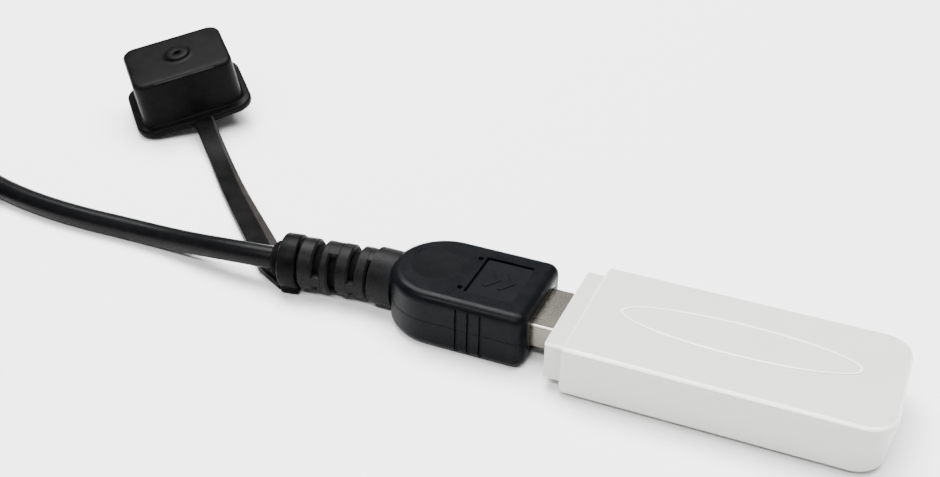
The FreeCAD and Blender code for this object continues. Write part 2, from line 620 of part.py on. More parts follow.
def make_cap():
    """Cap for the socket's mouth: hollow box, wide flange with the strap's lug, boss on the closed end."""
    u, v = CAP_HALF
    out_u, front, back = u + FLANGE_OUT, v + FLANGE_FRONT, v + FLANGE_BACK
    flange = fillet(box(-out_u, out_u, -front, back, 0, FLANGE_T), 4.2, upright)
    lug = [V(STRAP_U - 5.5, 0.2 - front, 0), V(STRAP_U - 2.3, -front - CAP_LUG, 0), V(STRAP_U + 2.3, -front - CAP_LUG, 0),
           V(STRAP_U + 5.5, 0.2 - front, 0), V(STRAP_U, 2 - front, 0)]
    flange = flange.fuse(Part.Face(Part.makePolygon(lug + lug[:1])).extrude(V(0, 0, FLANGE_T)))
    shell = fillet(box(-u, u, -v, v, 0, CAP_H), 2.8, upright)
    shell = fillet(shell, 0.9, at_height(CAP_H))
    body = flange.fuse(shell)
    hu, hv, deep = CAP_HOLLOW
    body = body.cut(fillet(box(-hu, hu, -hv, hv, -1, deep), 1.5, upright))
    body = body.fuse(Part.makeCone(2.7, 2.4, 0.55, V(0.4, 0.3, CAP_H))).cut(
        Part.makeCylinder(0.65, 1.0, V(0.4, 0.3, CAP_H - 0.2)))
    body.Placement = FreeCAD.Placement(CAP_AT, CAP_ROT)
    save("dust_cap", body)
    print("flex ring", FLEX_RING, "flex cap", FLEX_CAP, "cap u", CAP_U, "strap way", STRAP_WAY)
    print("cap low", round(body.BoundBox.ZMin, 3))


make_socket_end()
save("cable_jacket", cable)
save("cable_tail", tail)
make_coil()
make_host_plug()
make_stick()
make_board_parts()
make_ring()
make_strap()
make_cap()
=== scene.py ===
"""White USB stick programmer in the socket end of its extension cable, with a tethered dust cap.

Metres, +Z up.
"""

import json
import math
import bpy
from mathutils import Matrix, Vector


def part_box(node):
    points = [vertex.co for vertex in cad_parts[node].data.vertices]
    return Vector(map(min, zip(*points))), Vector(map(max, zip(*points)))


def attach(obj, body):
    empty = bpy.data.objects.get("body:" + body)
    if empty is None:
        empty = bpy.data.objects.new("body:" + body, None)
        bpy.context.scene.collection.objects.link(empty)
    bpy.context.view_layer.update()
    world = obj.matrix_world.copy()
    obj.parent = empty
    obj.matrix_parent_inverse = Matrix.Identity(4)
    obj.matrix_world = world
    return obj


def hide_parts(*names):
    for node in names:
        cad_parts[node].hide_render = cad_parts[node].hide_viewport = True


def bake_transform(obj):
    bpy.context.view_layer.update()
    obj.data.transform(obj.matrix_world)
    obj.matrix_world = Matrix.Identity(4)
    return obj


bl_info = {
    "name": "USB stick programmer",
    "version": (1, 0, 0),
    "blender": (4, 5, 0),
    "location": "View3D > Sidebar > Programmer",
    "description": "Builds the cable, the rubber tether and the finishes round a packed stick programmer",
    "category": "Object",
}

import bmesh
import bpy
from mathutils import Matrix, Vector

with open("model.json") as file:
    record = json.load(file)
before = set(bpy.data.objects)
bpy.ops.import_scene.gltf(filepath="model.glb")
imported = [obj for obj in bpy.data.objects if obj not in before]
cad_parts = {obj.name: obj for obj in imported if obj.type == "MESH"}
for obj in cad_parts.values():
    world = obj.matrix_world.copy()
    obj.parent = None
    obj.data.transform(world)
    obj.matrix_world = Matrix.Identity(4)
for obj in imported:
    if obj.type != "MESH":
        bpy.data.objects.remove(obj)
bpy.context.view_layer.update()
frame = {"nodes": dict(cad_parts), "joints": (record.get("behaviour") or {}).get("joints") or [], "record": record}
MM = 0.001
DUST = (0.030, 0.029, 0.028)
# pale colour on the stick's top rim fillet and oval ridge, a painted highlight
RIM_HIGHLIGHT = (0.93, 0.93, 0.92)
RIDGE = 0.18 * MM  # how far the oval line stands up from the stick's top face
FINISHES = {}
# the finger dish and the badge panel on the socket housing
DISH_AT = (-5.4 * MM, 0.0)
DISH_R = 4.45 * MM
BADGE_LOW = (2.55 * MM, -5.5 * MM, 10.2 * MM)
BADGE_HIGH = (10.9 * MM, 5.5 * MM, 10.8 * MM)
# the strain relief's middle line and the radius below which its slots lie
BOOT_AT = (-0.0250, -0.0009, 0.0053)
BOOT_WAY = Vector((-0.0190, -0.0029, 0.0)).normalized()
SLOT_R = 4.35 * MM
MASK_SOFT = 0.1 * MM  # how soft the edge of a painted area is
UP = Vector((0, 0, 1))

# ---- places that the cable, the tether and the cap share ----
CABLE_D = 4.2 * MM
# the cable's route from its crimp, through the strain relief and along the table
ROUTE = [
    (-0.0095, 0.0, 0.0053), (-0.0170, 0.0, 0.0053), (-0.0270, -0.0013, 0.0053),
    (-0.0375, -0.0030, 0.00525), (-0.0455, -0.0031, 0.0047), (-0.0535, -0.0023, 0.0034),
    (-0.0615, -0.0013, 0.0023), (-0.0705, -0.0012, 0.0021), (-0.0805, -0.0015, 0.0021),
    (-0.0905, -0.0009, 0.0021), (-0.1005, 0.0008, 0.00215), (-0.1100, 0.0038, 0.0023),
    (-0.1190, 0.0063, 0.0025), (-0.1270, 0.0075, 0.0027),
]
COIL_C = Vector((-0.1270, -0.0219, 0.0))
COIL_IN, COIL_OUT = 21.0 * MM, 29.4 * MM
COIL_LOW, COIL_HIGH = 2.7 * MM, 6.9 * MM
PLUG_Z = 4.0 * MM
TURNS = 5.5
joints = {j["name"]: j for j in frame["joints"]}
RING_HALF = 1.7 * MM
SLEEVE, CARRIER = "stick_sleeve", "carrier_top"
PAINTED_HIGHLIGHT_FACES = 9  # faces along the cap's strap-side edge given a paler material as a painted highlight
SHOULDER = (14, 19)  # the strap's faces, counted round its section, that slope away and carry the painted highlight
RING_AT = Vector(joints["ring_swivel"]["pos_m"])
RING_WAY = -Vector(joints["ring_swivel"]["axis"]).normalized()
FLEX_RING = Vector(joints["strap_flex"]["pos_m"])
FLEX_CAP = Vector(joints["cap_flex"]["pos_m"])
STRAP_SIDE = -Vector(joints["strap_flex"]["axis"]).normalized()
STRAP_WAY = STRAP_SIDE.cross(UP)
# the dust cap's place: the middle of its mouth and its three turns
CAP_AT = Vector((-0.08681, 0.04766, 0.00375))
CAP_TURN = (math.radians(43.79), math.radians(7.10), math.radians(-10.72))
CAP_M = (Matrix.Translation(CAP_AT) @ Matrix.Rotation(CAP_TURN[0], 4, "Z")
         @ Matrix.Rotation(CAP_TURN[1], 4, "X") @ Matrix.Rotation(CAP_TURN[2], 4, "Y"))
# the cap's hollow and the boss on its closed end
HOLLOW_HALF = (9.75 * MM, 5.45 * MM)
HOLLOW_DEEP = 10.3 * MM
BOSS_AT = (0.4 * MM, 0.3 * MM)
# ---- the table and the lights ----
FLOOR_HALF = 4
FLOOR_DROP = 0.0001  # the table lies this far below the part, so that the two never share a face
WORLD_STRENGTH = 0.25
LAMP_AIM = Vector((0, 0.01, 0))
# each lamp's name, place, size in metres and power in watts
LAMPS = (
    ("key", (-0.35, 0.30, 0.80), (0.5, 0.5), 17.0),
    ("top", (0.10, 0.20, 1.0), (0.9, 0.9), 28.0),
    ("edge", (-0.08, -0.58, 0.77), (0.7, 0.06), 9.0),
)
SENSOR_MM = 36.0


# ---- node helpers ----
def fresh(name):
    """A new material, its node tree and its shader."""
    mat = bpy.data.materials.new(name)
    mat.use_nodes = True
    tree = mat.node_tree
    return mat, tree, tree.nodes["Principled BSDF"]


def place_of(tree, scale=(1, 1, 1)):
    """The surface's own position, stretched by scale."""
    coords = tree.nodes.new("ShaderNodeTexCoord")
    mapping = tree.nodes.new("ShaderNodeMapping")
    mapping.inputs["Scale"].default_value = scale
    tree.links.new(coords.outputs["Object"], mapping.inputs["Vector"])
    return mapping.outputs["Vector"]


def noise(tree, size, detail=3.0, rough=0.5, stretch=(1, 1, 1)):
    """Noise whose blobs are about size metres wide."""
    node = tree.nodes.new("ShaderNodeTexNoise")
    node.inputs["Scale"].default_value = 1.0 / size
    node.inputs["Detail"].default_value = detail
    node.inputs["Roughness"].default_value = rough
    tree.links.new(place_of(tree, stretch), node.inputs["Vector"])
    return node.outputs["Fac"]


def ramp(tree, value, low, high, a=0.0, b=1.0):
    """Spreads value between low and high over a to b."""
    node = tree.nodes.new("ShaderNodeMapRange")
    node.inputs["From Min"].default_value = low
    node.inputs["From Max"].default_value = high
    node.inputs["To Min"].default_value = a
    node.inputs["To Max"].default_value = b
    tree.links.new(value, node.inputs["Value"])
    return node.outputs["Result"]


def mixed(tree, factor, a, b):
    """A colour between a and b; either may be a colour or another node's output."""
    node = tree.nodes.new("ShaderNodeMix")
    node.data_type = "RGBA"
    tree.links.new(factor, node.inputs["Factor"])
    for socket, value in (("A", a), ("B", b)):
        slot = [s for s in node.inputs if s.name == socket and s.type == "RGBA"][0]
        if isinstance(value, bpy.types.NodeSocket):
            tree.links.new(value, slot)
        else:
            slot.default_value = (*value[:3], 1.0)
    return [s for s in node.outputs if s.type == "RGBA"][0]


def math_node(tree, kind, a, b):
    """One arithmetic step; a and b may be numbers or other nodes' outputs."""
    node = tree.nodes.new("ShaderNodeMath")
    node.operation = kind
    for k, value in enumerate((a, b)):
        if isinstance(value, bpy.types.NodeSocket):
            tree.links.new(value, node.inputs[k])
        else:
            node.inputs[k].default_value = value
    return node.outputs[0]


def vector_node(tree, kind, a, b=(0, 0, 0), out="Vector"):
    """One vector step on another node's output a and a fixed vector b."""
    node = tree.nodes.new("ShaderNodeVectorMath")
    node.operation = kind
    node.inputs[1].default_value = b
    tree.links.new(a, node.inputs[0])
    return node.outputs[out]


def shade(color, by):
    """The colour made darker or lighter."""
    return tuple(c * by for c in color)


def fed(shader, name):
    """What already feeds one of the shader's sockets."""
    return shader.inputs[name].links[0].from_socket


def inside_disc(tree, centre, radius):
    """1 within radius of an upright axis through centre, 0 outside."""
    flat = vector_node(tree, "MULTIPLY", place_of(tree), (1, 1, 0))
    gap = vector_node(tree, "DISTANCE", flat, (*centre, 0), "Value")
    return ramp(tree, gap, radius, radius - MASK_SOFT)


def inside_box(tree, low, high):
    """1 inside an upright box, 0 outside, with soft edges."""
    parts = tree.nodes.new("ShaderNodeSeparateXYZ")
    tree.links.new(place_of(tree), parts.inputs[0])
    mask = None
    for axis in range(3):
        middle, half = (low[axis] + high[axis]) / 2, (high[axis] - low[axis]) / 2
        off = math_node(tree, "ABSOLUTE", math_node(tree, "SUBTRACT", parts.outputs[axis], middle), 0.0)
        within = ramp(tree, off, half, half - MASK_SOFT)
        mask = math_node(tree, "MULTIPLY", mask, within) if mask else within
    return mask


def bumped(tree, shader, layers):
    """Stacks (height, depth in metres, strength) layers into one normal."""
    last = None
    for height, depth, strength in layers:
        node = tree.nodes.new("ShaderNodeBump")
        node.inputs["Distance"].default_value = depth
        node.inputs["Strength"].default_value = strength
        tree.links.new(height, node.inputs["Height"])
        if last:
            tree.links.new(last, node.inputs["Normal"])
        last = node.outputs["Normal"]
    tree.links.new(last, shader.inputs["Normal"])


# ---- materials ----
def white_plastic(name, color, rough, top):
    """Moulded plastic with a spark-eroded grain, painted shade on its flanks below the top face and a painted
    highlight along the rim and ridge.
    """
    mat, tree, bsdf = fresh(name)
    tone = ramp(tree, noise(tree, 9 * MM, 2.0), 0.35, 0.65)
    base = mixed(tree, tone, shade(color, 0.965), color)
    # painted shade: the flanks below the top face are darkened
    shaded_flanks = inside_box(tree, (-1, -1, -1), (1, 1, top - 0.5 * MM))
    base = mixed(tree, shaded_flanks, base, shade(color, 0.84))
    # painted highlight: a pale band on the top rim's fillet and on the ridge above the top face
    for low, high in ((top - 0.5 * MM, top), (top + 0.01 * MM, 1)):
        base = mixed(tree, inside_box(tree, (-1, -1, low), (1, 1, high)), base, RIM_HIGHLIGHT)
    tree.links.new(base, bsdf.inputs["Base Color"])
    wear_and_painted_highlight = ramp(tree, noise(tree, 2.5 * MM, 4.0), 0.3, 0.7, rough - 0.04, rough + 0.05)
    tree.links.new(wear_and_painted_highlight, bsdf.inputs["Roughness"])
    bsdf.inputs["Subsurface Weight"].default_value = 0.12
    bsdf.inputs["Subsurface Radius"].default_value = (0.0012, 0.0011, 0.001)
    bsdf.inputs["Subsurface Scale"].default_value = 1.0
    bsdf.inputs["Coat Weight"].default_value = 1.0
    bsdf.inputs["Coat Roughness"].default_value = 0.13
    bumped(tree, bsdf, [(noise(tree, 0.16 * MM, 2.0), 0.00001, 0.35),
                        (noise(tree, 6 * MM, 1.0), 0.00004, 0.25)])
    return mat


def black_plastic(name, color, rough, speck=0.3, shine=0.12):
    """Satin black plastic with a fine grain, faint smears and a little dust."""
    mat, tree, bsdf = fresh(name)
    tone = ramp(tree, noise(tree, 1.6 * MM, 5.0, 0.6), 0.35, 0.7)
    base = mixed(tree, tone, color, shade(color, 1.5))
    dust = ramp(tree, noise(tree, 0.22 * MM, 4.0, 0.7), 0.66, 0.74, 0.0, speck)
    base = mixed(tree, dust, base, DUST)
    tree.links.new(base, bsdf.inputs["Base Color"])
    smear = ramp(tree, noise(tree, 4 * MM, 4.0, 0.6), 0.3, 0.7, rough - 0.05, rough + 0.08)
    tree.links.new(smear, bsdf.inputs["Roughness"])
    bsdf.inputs["Specular IOR Level"].default_value = shine
    bumped(tree, bsdf, [(noise(tree, 0.14 * MM, 2.0), 0.00002, 0.25),
                        (noise(tree, 1.8 * MM, 2.0), 0.00002, 0.15)])
    return mat


def housing_plastic(name, color, rough):
    """The housing's satin black, with painted shade in the finger dishes and a stippled badge panel."""
    mat = black_plastic(name, color, rough, 0.2, 0.05)
    tree, bsdf = mat.node_tree, mat.node_tree.nodes["Principled BSDF"]
    dish = inside_disc(tree, DISH_AT, DISH_R)
    badge = inside_box(tree, BADGE_LOW, BADGE_HIGH)
    base = fed(bsdf, "Base Color")
    # painted shade darkens the finger dish
    base = mixed(tree, math_node(tree, "MULTIPLY", dish, 0.6), base, shade(color, 0.45))
    stipple = ramp(tree, noise(tree, 0.3 * MM, 2.0, 0.6), 0.4, 0.6)
    base = mixed(tree, math_node(tree, "MULTIPLY", badge, stipple), base, shade(color, 1.7))
    tree.links.new(base, bsdf.inputs["Base Color"])
    matte = math_node(tree, "MULTIPLY", math_node(tree, "MAXIMUM", dish, badge), 0.36)
    wear_and_painted_highlight = math_node(tree, "ADD", fed(bsdf, "Roughness"), matte)
    tree.links.new(wear_and_painted_highlight, bsdf.inputs["Roughness"])
    grain = tree.nodes.new("ShaderNodeBump")
    grain.inputs["Distance"].default_value = 0.00008
    grain.inputs["Strength"].default_value = 0.4
    tree.links.new(math_node(tree, "MULTIPLY", badge, stipple), grain.inputs["Height"])
    tree.links.new(fed(bsdf, "Normal"), grain.inputs["Normal"])
    tree.links.new(grain.outputs["Normal"], bsdf.inputs["Normal"])
    return mat


def rubber(name, color, rough, dusty, shine):
    """Matte rubber with a pitted skin and pale specks of dust and lint."""
    mat, tree, bsdf = fresh(name)
    patches = ramp(tree, noise(tree, 2.8 * MM, 4.0, 0.65), 0.35, 0.68)
    base = mixed(tree, patches, color, shade(color, 1.9))
    specks = ramp(tree, noise(tree, 0.3 * MM, 3.0, 0.75), 0.62, 0.72, 0.0, dusty)
    base = mixed(tree, specks, base, DUST)
    lint = ramp(tree, noise(tree, 0.5 * MM, 2.0, 0.5, (1.0, 6.0, 1.0)), 0.68, 0.74, 0.0, dusty)
    base = mixed(tree, lint, base, shade(DUST, 1.5))
    tree.links.new(base, bsdf.inputs["Base Color"])
    tree.links.new(ramp(tree, patches, 0, 1, rough - 0.05, rough + 0.1), bsdf.inputs["Roughness"])
    bsdf.inputs["Specular IOR Level"].default_value = shine
    bumped(tree, bsdf, [(noise(tree, 0.12 * MM, 3.0, 0.6), 0.00004, 0.5),
                        (noise(tree, 0.9 * MM, 2.0), 0.00005, 0.3)])
    return mat


def boot_rubber(name, color, rough):
    """The strain relief's rubber, with painted shade and more roughness down in its slots."""
    mat = rubber(name, color, rough, 0.4, 0.06)
    tree, bsdf = mat.node_tree, mat.node_tree.nodes["Principled BSDF"]
    offset = vector_node(tree, "SUBTRACT", place_of(tree), BOOT_AT)
    across = vector_node(tree, "CROSS_PRODUCT", offset, BOOT_WAY)
    gap = vector_node(tree, "LENGTH", across, out="Value")
    slots = ramp(tree, gap, SLOT_R, SLOT_R - 0.5 * MM)
    # painted shade darkens the slots
    base = mixed(tree, slots, fed(bsdf, "Base Color"), shade(color, 0.25))
    tree.links.new(base, bsdf.inputs["Base Color"])
    matte = math_node(tree, "MULTIPLY", slots, 0.4)
    wear_and_painted_highlight = math_node(tree, "ADD", fed(bsdf, "Roughness"), matte)
    tree.links.new(wear_and_painted_highlight, bsdf.inputs["Roughness"])
    return mat


def plated(name, color, rough, along=(1.0, 14.0, 14.0), shaded_flanks=None):
    """Plated sheet metal with faint drawing lines and handling haze, and painted shade inside the flanks' box."""
    mat, tree, bsdf = fresh(name)
    haze = ramp(tree, noise(tree, 5.0 * MM, 3.0), 0.35, 0.7)
    base = mixed(tree, haze, color, shade(color, 0.85))
    if shaded_flanks:
        # painted shade: the shell's flanks are darkened
        base = mixed(tree, inside_box(tree, *shaded_flanks), base, shade(color, 0.5))
    tree.links.new(base, bsdf.inputs["Base Color"])
    bsdf.inputs["Metallic"].default_value = 1.0
    lines = noise(tree, 1.2 * MM, 2.0, 0.5, along)
    tree.links.new(ramp(tree, lines, 0.3, 0.7, rough - 0.01, rough + 0.02), bsdf.inputs["Roughness"])
    bumped(tree, bsdf, [(lines, 0.0000005, 0.1)])
    return mat


def circuit_board(name, color):
    """Green solder mask over copper tracks, with the tracks standing slightly proud."""
    mat, tree, bsdf = fresh(name)
    bricks = tree.nodes.new("ShaderNodeTexBrick")
    bricks.inputs["Scale"].default_value = 160.0
    bricks.inputs["Mortar Size"].default_value = 0.03
    bricks.inputs["Color1"].default_value = (0, 0, 0, 1)
    bricks.inputs["Color2"].default_value = (0, 0, 0, 1)
    bricks.inputs["Mortar"].default_value = (1, 1, 1, 1)
    tree.links.new(place_of(tree), bricks.inputs["Vector"])
    track = tuple(min(1.0, c * 1.9) for c in color)
    tree.links.new(mixed(tree, bricks.outputs["Fac"], color, track), bsdf.inputs["Base Color"])
    tree.links.new(ramp(tree, noise(tree, 1.5 * MM), 0.3, 0.7, 0.22, 0.34), bsdf.inputs["Roughness"])
    bumped(tree, bsdf, [(bricks.outputs["Fac"], 0.00003, 0.5)])
    return mat


def moulded(name, color, rough=0.5):
    """Plain technical moulding: nylon, epoxy, wire insulation or fired ceramic."""
    mat, tree, bsdf = fresh(name)
    tone = ramp(tree, noise(tree, 0.8 * MM, 4.0), 0.35, 0.68)
    tree.links.new(mixed(tree, tone, shade(color, 0.88), color), bsdf.inputs["Base Color"])
    wear_and_painted_highlight = ramp(tree, noise(tree, 0.5 * MM), 0.3, 0.7, rough - 0.06, rough + 0.06)
    tree.links.new(wear_and_painted_highlight, bsdf.inputs["Roughness"])
    bumped(tree, bsdf, [(noise(tree, 0.1 * MM), 0.00001, 0.4)])
    return mat


def hook_tape(name, color):
    """Woven tape: two crossed rib waves with fuzz over them."""
    mat, tree, bsdf = fresh(name)
    ribs = []
    for axis in ("Y", "Z"):
        wave = tree.nodes.new("ShaderNodeTexWave")
        wave.bands_direction = axis
        wave.inputs["Scale"].default_value = 420.0
        wave.inputs["Distortion"].default_value = 1.2
        tree.links.new(place_of(tree), wave.inputs["Vector"])
        ribs.append(wave.outputs["Fac"])
    weave = math_node(tree, "MULTIPLY", ribs[0], ribs[1])
    fuzz = noise(tree, 0.2 * MM, 4.0, 0.7)
    tree.links.new(mixed(tree, weave, shade(color, 0.5), shade(color, 1.6)), bsdf.inputs["Base Color"])
    bsdf.inputs["Roughness"].default_value = 0.85
    bsdf.inputs["Sheen Weight"].default_value = 0.08
    bumped(tree, bsdf, [(weave, 0.0001, 0.6), (fuzz, 0.00006, 0.6)])
    return mat


def clear_lens(name, color):
    """Half-clear epoxy over the LED."""
    mat, tree, bsdf = fresh(name)
    base = mixed(tree, noise(tree, 0.6 * MM), color, shade(color, 0.85))
    tree.links.new(base, bsdf.inputs["Base Color"])
    bsdf.inputs["Roughness"].default_value = 0.15
    bsdf.inputs["Transmission Weight"].default_value = 0.5
    return mat


def paper(name, color):
    """The floor: a seamless pale sweep."""
    mat, tree, bsdf = fresh(name)
    base = mixed(tree, noise(tree, 0.3, 2.0), shade(color, 0.99), color)
    tree.links.new(base, bsdf.inputs["Base Color"])
    bsdf.inputs["Roughness"].default_value = 0.9
    bsdf.inputs["Specular IOR Level"].default_value = 0.1
    return mat


# ---- mesh helpers ----
def smooth(mesh):
    """Every face shaded smooth."""
    for poly in mesh.polygons:
        poly.use_smooth = True


def piece_from(name, verts, faces, material):
    """A new object with one material, its faces turned outwards and its creases kept sharp."""
    mesh = bpy.data.meshes.new(name)
    mesh.from_pydata([tuple(v) for v in verts], [], faces)
    mesh.update()
    obj = bpy.data.objects.new(name, mesh)
    bpy.context.scene.collection.objects.link(obj)
    bm = bmesh.new()
    bm.from_mesh(mesh)
    bmesh.ops.recalc_face_normals(bm, faces=bm.faces)
    bm.to_mesh(mesh)
    bm.free()
    smooth(mesh)
    mesh.set_sharp_from_angle(angle=math.radians(60))
    mesh.materials.append(material)
    return obj


def skin(loops, close_start=True, close_end=True, ring=True):
    """Joins equal loops of points with quads, and shuts the ends with fans; ring closes each loop."""
    verts, faces, n = [], [], len(loops[0])
    for loop in loops:
        verts += loop
    for k in range(len(loops) - 1):
        for i in range(n if ring else n - 1):
            j = (i + 1) % n
            faces.append((k * n + i, k * n + j, (k + 1) * n + j, (k + 1) * n + i))
    for shut, base in ((close_start, 0), (close_end, (len(loops) - 1) * n)):
        if shut:
            centre = sum((Vector(verts[base + i]) for i in range(n)), Vector()) / n
            verts.append(centre)
            faces += [(base + i, base + (i + 1) % n, len(verts) - 1) for i in range(n)]
    return verts, faces


def merge_doubles(obj):
    """Joins the points that lie on each other where a closed skin meets itself."""
    bm = bmesh.new()
    bm.from_mesh(obj.data)
    bmesh.ops.remove_doubles(bm, verts=bm.verts, dist=1e-7)
    bmesh.ops.recalc_face_normals(bm, faces=bm.faces)
    bm.to_mesh(obj.data)
    bm.free()


def rounded_box_loop(right, front, back, corner, height, per_corner=8, per_side=10, bow=0.0, bow_u=0.0,
                     bow_w=1.0):
    """A rounded rectangle at one height; bow pushes the front side out round bow_u."""
    points = []
    corners = [(right, -front, -90), (right, back, 0), (-right, back, 90), (-right, -front, 180)]
    arcs = []
    for x, y, turn in corners:
        cx, cy = x - math.copysign(corner, x), y - math.copysign(corner, y)
        arc = []
        for k in range(per_corner + 1):
            a = math.radians(turn + 90.0 * k / per_corner)
            arc.append((cx + corner * math.cos(a), cy + corner * math.sin(a)))
        arcs.append(arc)
    for k, arc in enumerate(arcs):
        points += arc
        a, b = arc[-1], arcs[(k + 1) % 4][0]
        for i in range(1, per_side):
            t = i / per_side
            points.append((a[0] + (b[0] - a[0]) * t, a[1] + (b[1] - a[1]) * t))
    out = []
    for x, y in points:
        if bow and y < -front * 0.9:
            y -= bow * math.exp(-((x - bow_u) / bow_w) ** 2)
        out.append(Vector((x, y, height)))
    return out


def smooth_path(points, steps):
    """A smooth curve through given points, as a list of positions."""
    pts = [Vector(p) for p in points]
    ends = [pts[0] * 2 - pts[1]] + pts + [pts[-1] * 2 - pts[-2]]
    out = []
    for k in range(1, len(ends) - 2):
        p0, p1, p2, p3 = ends[k - 1:k + 3]
        for i in range(steps):
            t = i / steps
            out.append(0.5 * ((2 * p1) + (p2 - p0) * t + (2 * p0 - 5 * p1 + 4 * p2 - p3) * t * t
                              + (3 * p1 - p0 - 3 * p2 + p3) * t ** 3))
    return out + [pts[-1]]


def strap_section(at, side, up, width, thick, corner=0.32 * MM, steps=4, slope=(0.0, 0.0)):
    """A flat band's section with rounded edges; slope is how wide and deep its far shoulder falls away."""
    points = []
    for sx, sy, turn in ((1, -1, -90), (1, 1, 0), (-1, 1, 90), (-1, -1, 180)):
        wide, deep = (max(corner, slope[0]), max(corner, slope[1])) if turn == 180 else (corner, corner)
        cx, cy = sx * (width / 2 - wide), sy * (thick / 2 - deep)
        for k in range(steps + 1):
            a = math.radians(turn + 90.0 * k / steps)
            points.append(at + side * (cx + wide * math.cos(a)) + up * (cy + deep * math.sin(a)))
    return points


# ---- sizes and colours that a user would change ----
def length_prop(label, text, value):
    """A length in metres."""
    return bpy.props.FloatProperty(name=label, description=text, default=value, unit="LENGTH", precision=5,
                                   min=0.0)


def color_prop(label, text, value):
    """A linear colour."""
    return bpy.props.FloatVectorProperty(name=label, description=text, default=value, size=3,
                                         subtype="COLOR", min=0.0, max=1.0)


class CableSettings(bpy.types.PropertyGroup):
    diameter: length_prop("Diameter", "Outer diameter of the cable's jacket", CABLE_D)
    color: color_prop("Colour", "Colour of the jacket", (0.0022, 0.0022, 0.0025))


class TetherSettings(bpy.types.PropertyGroup):
    strap_width: length_prop("Strap width", "Width of the strap at the cap", 4.3 * MM)
    strap_root: length_prop("Strap root", "Width of the strap at the ring", 5.4 * MM)
    strap_thick: length_prop("Strap thickness", "Thickness of the strap", 1.5 * MM)
    ring_radius: length_prop("Ring radius", "Outside radius of the ring in its groove", 5.0 * MM)
    color: color_prop("Colour", "Colour of the tether's rubber", (0.0018, 0.0018, 0.0019))


class CapSettings(bpy.types.PropertyGroup):
    half_long: length_prop("Half length", "Half the long side of the cap's box", 11.1 * MM)
    half_short: length_prop("Half width", "Half the short side of the cap's box", 8.4 * MM)
    height: length_prop("Height", "Height of the box over its mouth", 12.2 * MM)
    flange: length_prop("Flange", "How far the flange stands out at the short ends", 1.8 * MM)
    flange_back: length_prop("Flange at back", "How far the flange stands out at the back", 1.0 * MM)
    flange_front: length_prop("Flange at strap", "How far the flange stands out by the strap", 1.9 * MM)
    flange_thick: length_prop("Flange thickness", "Thickness of the flange", 1.6 * MM)


class HardSettings(bpy.types.PropertyGroup):
    stick: color_prop("Stick", "Colour of the stick's sleeve", (0.60, 0.595, 0.575))
    collar: color_prop("Collar", "Colour of the stick's inner carrier", (0.53, 0.527, 0.508))
    housing: color_prop("Housing", "Colour of the socket housing", (0.0020, 0.0023, 0.0028))
    boot: color_prop("Strain relief", "Colour of the strain relief", (0.0028, 0.0028, 0.0031))
    shell: color_prop("Plug shell", "Colour of the plated plug shells", (0.28, 0.262, 0.228))


class StageSettings(bpy.types.PropertyGroup):
    lens: bpy.props.FloatProperty(name="Lens", description="Focal length", default=50.148,
                                  subtype="DISTANCE_CAMERA")
    azimuth: bpy.props.FloatProperty(name="Azimuth", description="Camera's turn round the object",
                                     default=math.radians(21.833), subtype="ANGLE")
    elevation: bpy.props.FloatProperty(name="Elevation", description="Camera's angle above the table",
                                       default=math.radians(32.429), subtype="ANGLE")
    roll: bpy.props.FloatProperty(name="Roll", description="Camera's roll", default=math.radians(1.3726),
                                  subtype="ANGLE")
    place: bpy.props.FloatVectorProperty(name="Place", description="Camera's position", subtype="TRANSLATION",
                                         unit="LENGTH", default=(0.070497, -0.173882, 0.136535), size=3)
    floor: color_prop("Floor", "Colour of the table", (0.97, 0.97, 0.97))


# ---- operators ----
class PROG_OT_camera(bpy.types.Operator):
    """Place the camera"""
    bl_idname = "programmer.camera"
    bl_label = "Camera"

    def execute(self, context):
        s = context.scene.programmer_stage
        forward = Vector((-math.sin(s.azimuth) * math.cos(s.elevation),
                          math.cos(s.azimuth) * math.cos(s.elevation), -math.sin(s.elevation)))
        level = Vector((math.cos(s.azimuth), math.sin(s.azimuth), 0))
        above = level.cross(forward)
        right = level * math.cos(s.roll) + above * math.sin(s.roll)
        top = above * math.cos(s.roll) - level * math.sin(s.roll)
        data = bpy.data.cameras.new("camera")
        data.lens, data.sensor_width = s.lens, SENSOR_MM
        data.clip_start, data.clip_end = 0.01, 20.0
        cam = bpy.data.objects.new("camera", data)
        turn = Matrix((right, top, -forward)).transposed().to_4x4()
        cam.matrix_world = Matrix.Translation(Vector(s.place)) @ turn
        context.scene.collection.objects.link(cam)
        context.scene.camera = cam
        return {"FINISHED"}


def coil_points():
    """The wound length: inwards along the table, up over its own inner turn, outwards on top."""
    points, per_turn = [], 16
    d = CABLE_D
    for k in range(1, int(TURNS * per_turn) + 1):
        t = k / per_turn
        if t <= 2:
            r, z = COIL_OUT - d * t, COIL_LOW
        elif t <= 3:
            u = t - 2
            rise = u * u * (3 - 2 * u)
            r = COIL_OUT - d * (t - 1) - d * math.sqrt(1 - rise * rise)
            z = COIL_LOW + (COIL_HIGH - COIL_LOW) * rise
        else:
            r, z = COIL_IN + d * (t - 3), COIL_HIGH
            if t > 5:
                z = PLUG_Z + (COIL_HIGH - PLUG_Z) * math.cos(math.pi * (t - 5))
        a = math.radians(90) + 2 * math.pi * t
        points.append((COIL_C.x + r * math.cos(a), COIL_C.y + r * math.sin(a), z))
    return points


